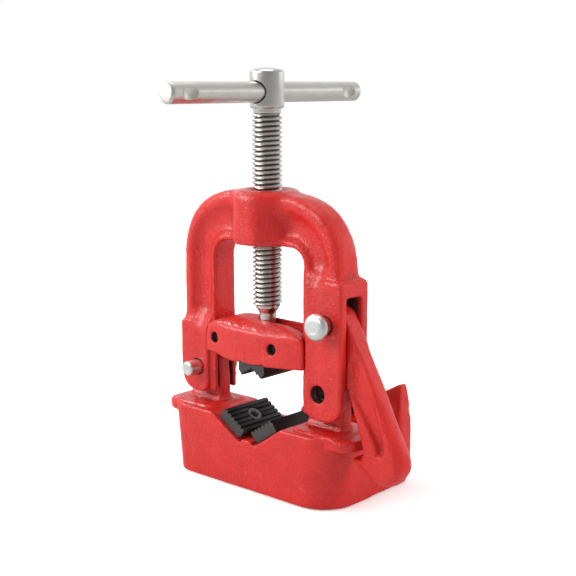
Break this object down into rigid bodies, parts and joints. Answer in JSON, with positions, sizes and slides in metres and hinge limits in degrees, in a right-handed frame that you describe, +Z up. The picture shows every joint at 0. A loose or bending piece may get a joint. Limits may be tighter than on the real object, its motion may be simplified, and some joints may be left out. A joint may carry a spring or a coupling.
{
  "type": "bench yoke pipe vise",
  "caption": "Cast bench pipe vise: hinged yoke held by a swinging hook, screw-driven jaw holder on rails, sliding tee bar, toothed vee jaws and a rear pipe rest.",
  "frame": {"origin": "centre of the base's underside, below the screw's axis", "axes": "+Z up along the screw; +X from the hinge to the hook; +Y along the pipe, from the front to the pipe rest"},
  "size_m": [0.1621, 0.144, 0.2263],
  "materials": {
    "cast_red": "gloss red enamel over a slightly orange-peeled sand casting",
    "black_steel": "hardened tool steel, black oxide, satin",
    "zinc_steel": "bright zinc plate",
    "bright_steel": "bare turned steel with fine lathe lines"
  },
  "bodies": {
    "base": {"base": "cast_red", "lower_jaw_left": "black_steel", "lower_jaw_right": "black_steel", "lower_jaw_screw_left": "black_steel", "lower_jaw_screw_right": "black_steel"},
    "yoke": {"yoke": "cast_red", "hinge_pin": "zinc_steel", "hinge_pin_washer": "zinc_steel", "hinge_pin_cotter": "zinc_steel", "hook_pin": "zinc_steel", "hook_pin_washer": "zinc_steel", "hook_pin_cotter": "zinc_steel"},
    "hook": {"hook": "cast_red"},
    "jaw_holder": {"jaw_holder": "cast_red", "upper_jaw": "black_steel", "upper_jaw_screw": "black_steel", "screw_keeper_pin": "bright_steel", "holder_spare_pin": "bright_steel"},
    "spindle": {"spindle": "bright_steel"},
    "handle_bar": {"handle_bar": "bright_steel"}
  },
  "joints": [
    {"name": "yoke_hinge", "type": "hinge", "parent": "base", "child": "yoke", "pos_m": [-0.0444, 0, 0.061], "axis": [0, -1, 0], "range_deg": [0, 96]},
    {"name": "hook_swing", "type": "hinge", "parent": "yoke", "child": "hook", "pos_m": [0.0493, 0, 0.098], "axis": [0, -1, 0], "range_deg": [0, 60]},
    {"name": "jaw_slide", "type": "slide", "parent": "yoke", "child": "jaw_holder", "axis": [0, 0, 1], "range_m": [-0.022, 0.034]},
    {"name": "spindle_turn", "type": "hinge", "parent": "jaw_holder", "child": "spindle", "pos_m": [0, 0, 0.15], "axis": [0, 0, 1], "range_deg": [-3170, 4900]},
    {"name": "handle_slide", "type": "slide", "parent": "spindle", "child": "handle_bar", "axis": [0, 1, 0], "range_m": [-0.046, 0.044]}
  ],
  "couplings": [
    {"joint": "spindle_turn", "follows": "jaw_slide", "rad_per_m": 2513.3}
  ]
}
